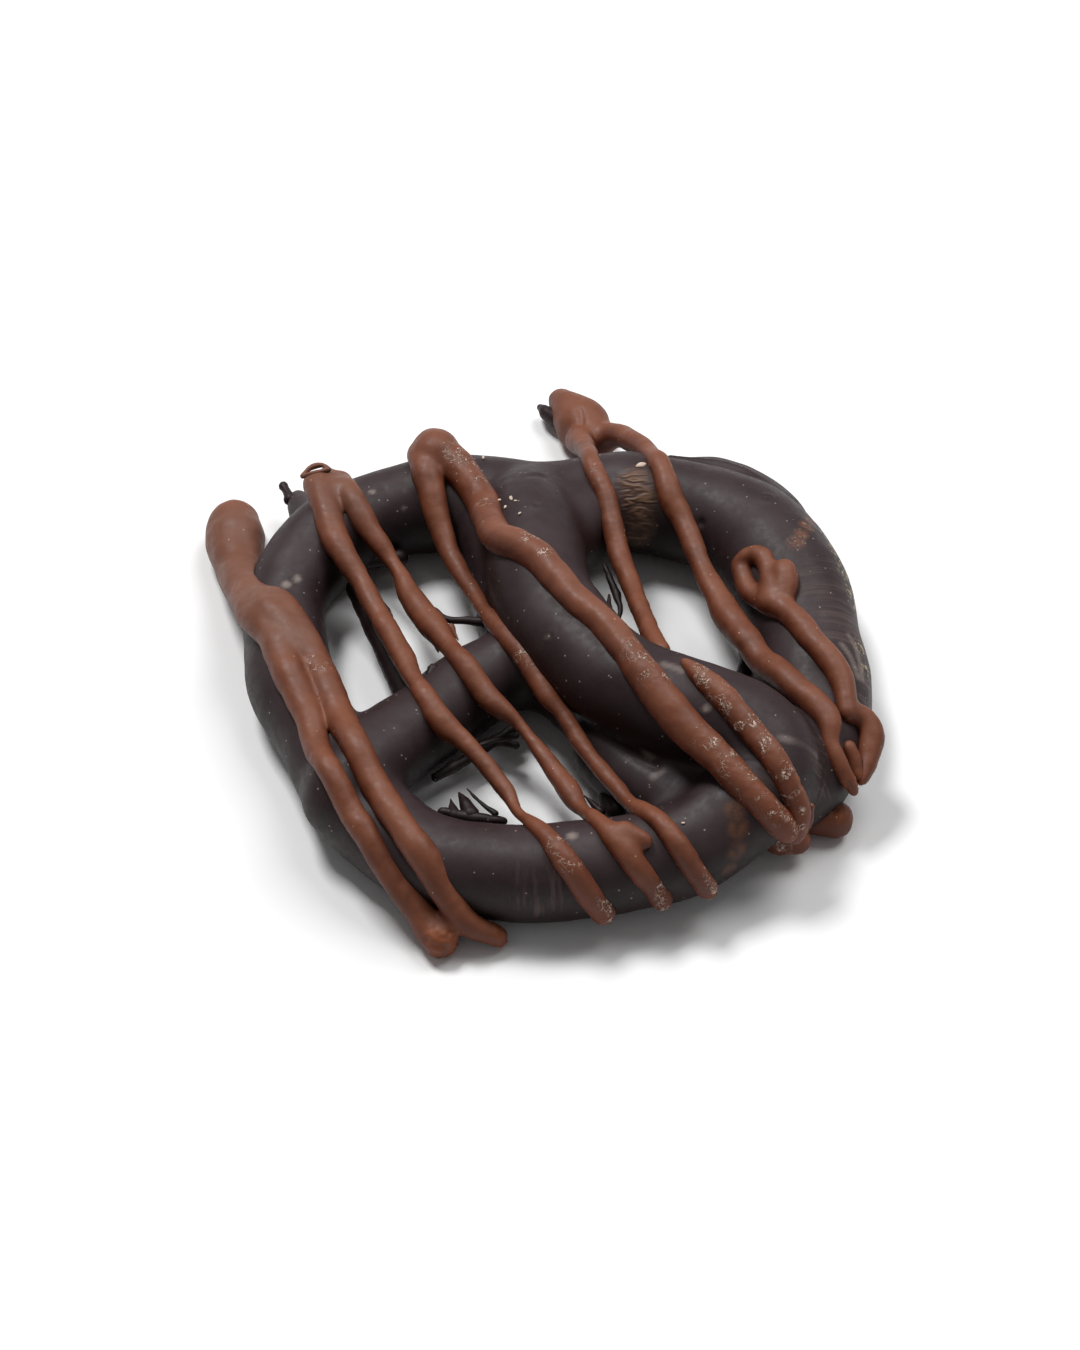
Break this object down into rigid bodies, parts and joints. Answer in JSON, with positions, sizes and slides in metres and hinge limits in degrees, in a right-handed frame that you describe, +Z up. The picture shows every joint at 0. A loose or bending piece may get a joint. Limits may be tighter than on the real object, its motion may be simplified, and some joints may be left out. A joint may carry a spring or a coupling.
{
  "type": "chocolate-covered pretzel",
  "caption": "Twisted pretzel in a dark chocolate coat with thick milk chocolate drizzled over it in a zigzag, lying flat on its underside.",
  "frame": {"origin": "middle of the outline as seen from above, at the level of the surface the pretzel lies on", "axes": "+Z up; +Y towards the far rim with the two drizzle puddles, along the zigzag's longest reach; +X towards the right-hand lobe"},
  "size_m": [0.0878, 0.1007, 0.0213],
  "materials": {
    "dark_chocolate": "satin, set dark chocolate",
    "milk_chocolate": "satin, set milk chocolate"
  },
  "bodies": {
    "root": {"pretzel": "dark_chocolate"}
  },
  "joints": []
}
